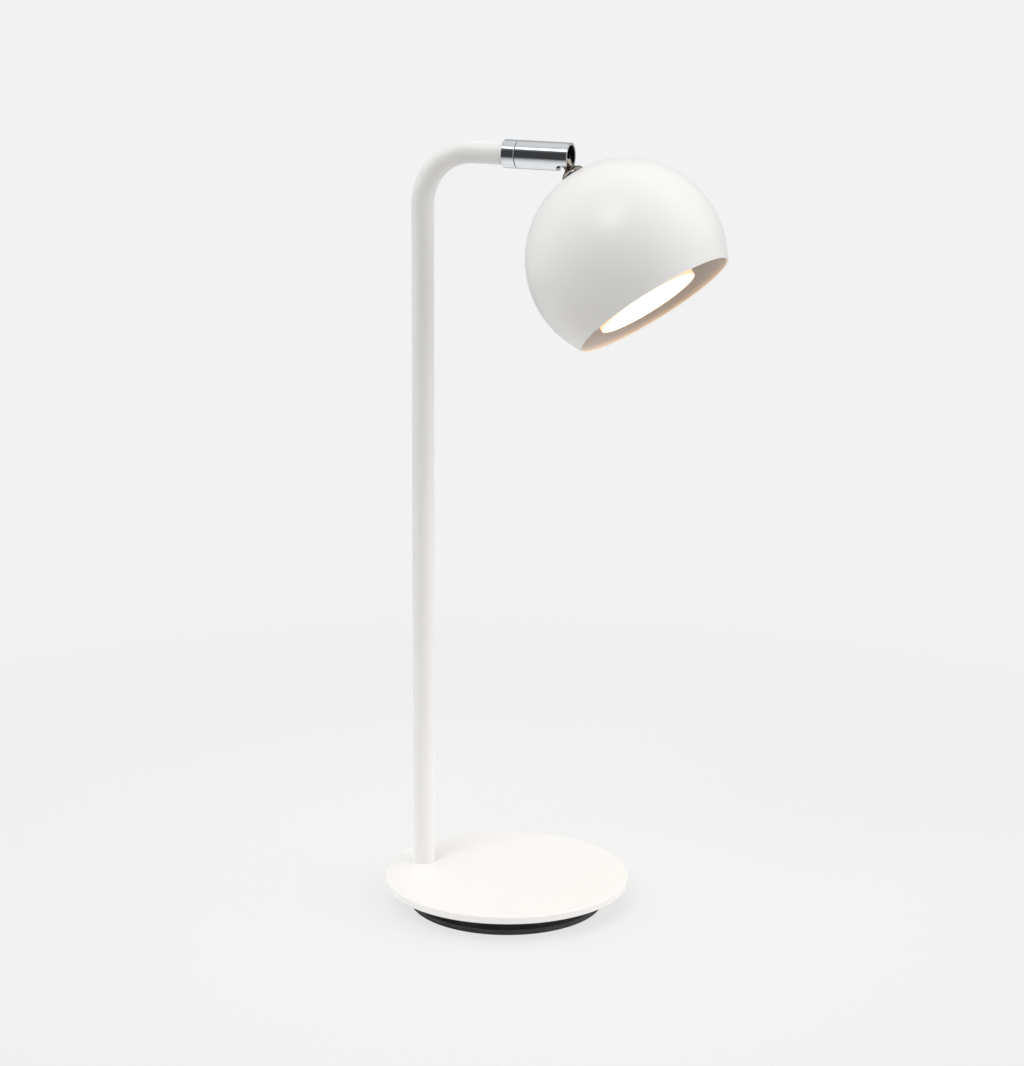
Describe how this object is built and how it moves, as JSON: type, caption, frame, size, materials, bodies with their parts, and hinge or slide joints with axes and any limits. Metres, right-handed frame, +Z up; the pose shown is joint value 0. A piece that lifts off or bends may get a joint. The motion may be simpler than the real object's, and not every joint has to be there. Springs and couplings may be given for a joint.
{
  "type": "desk lamp",
  "caption": "Free-standing desk lamp: round weighted foot, bent tube stem, and a domed spot shade that swivels about the arm and tilts on a slotted barrel joint.",
  "frame": {"origin": "centre of the foot ring's underside, on the surface that the lamp stands on", "axes": "+Z up along the stem, +X along the arm from the stem towards the shade"},
  "size_m": [0.2504, 0.18, 0.565],
  "materials": {
    "white_enamel": "matte",
    "ballast_black": "matte",
    "rubber_grey": "matte",
    "polished_chrome": "polished",
    "zinc_steel": "satin",
    "black_nylon": "matte",
    "brass_contacts": "satin",
    "lead_sheath": "satin",
    "lampholder_white": "satin",
    "lamp_housing": "satin",
    "opal_diffuser": "satin",
    "board_aluminium": "satin"
  },
  "bodies": {
    "stand": {"base_plate": "white_enamel", "ballast": "ballast_black", "ballast_screws": "zinc_steel", "foot_ring": "rubber_grey", "bottom_cover": "zinc_steel", "cover_screws": "zinc_steel", "cord_inlet": "black_nylon", "cord_grommet": "rubber_grey", "terminal_block": "black_nylon", "terminal_clamps": "brass_contacts", "terminal_screws": "zinc_steel", "stem_lead": "lead_sheath", "stem_tube": "white_enamel", "stem_insert": "zinc_steel", "stem_nipple": "zinc_steel", "stem_washer": "zinc_steel", "stem_nut": "zinc_steel", "arm_insert": "zinc_steel", "collar": "polished_chrome", "swivel_stud": "zinc_steel", "swivel_washer": "black_nylon", "stop_pin": "zinc_steel", "wave_washer": "zinc_steel", "swivel_nut": "zinc_steel"},
    "swivel_barrel": {"barrel": "polished_chrome", "cradle": "zinc_steel", "cradle_screw": "zinc_steel", "trunnion_pins": "zinc_steel", "friction_washers": "black_nylon"},
    "shade_head": {"knuckle": "polished_chrome", "dome_washer": "polished_chrome", "shade_gasket": "rubber_grey", "shade_shell": "white_enamel", "inner_washer": "zinc_steel", "shade_locknut": "zinc_steel", "coupling_sleeve": "zinc_steel", "holder_tube": "zinc_steel", "bridge_nuts": "zinc_steel", "holder_bridge": "zinc_steel", "holder_screws": "zinc_steel", "lampholder": "lampholder_white", "holder_contacts": "brass_contacts", "lamp_body": "lamp_housing", "lamp_pins": "brass_contacts", "lamp_diffuser": "opal_diffuser", "light_board": "board_aluminium", "shade_lead": "lead_sheath"}
  },
  "joints": [
    {"name": "barrel_swivel", "type": "hinge", "parent": "stand", "child": "swivel_barrel", "pos_m": [0.0065, 0, 0.555], "axis": [1, 0, 0], "range_deg": [-149.2, 166.8]},
    {"name": "shade_tilt", "type": "hinge", "parent": "swivel_barrel", "child": "shade_head", "pos_m": [0.0386, 0, 0.555], "axis": [0, 0.9882, -0.153], "range_deg": [-77.9, 25.1]}
  ]
}
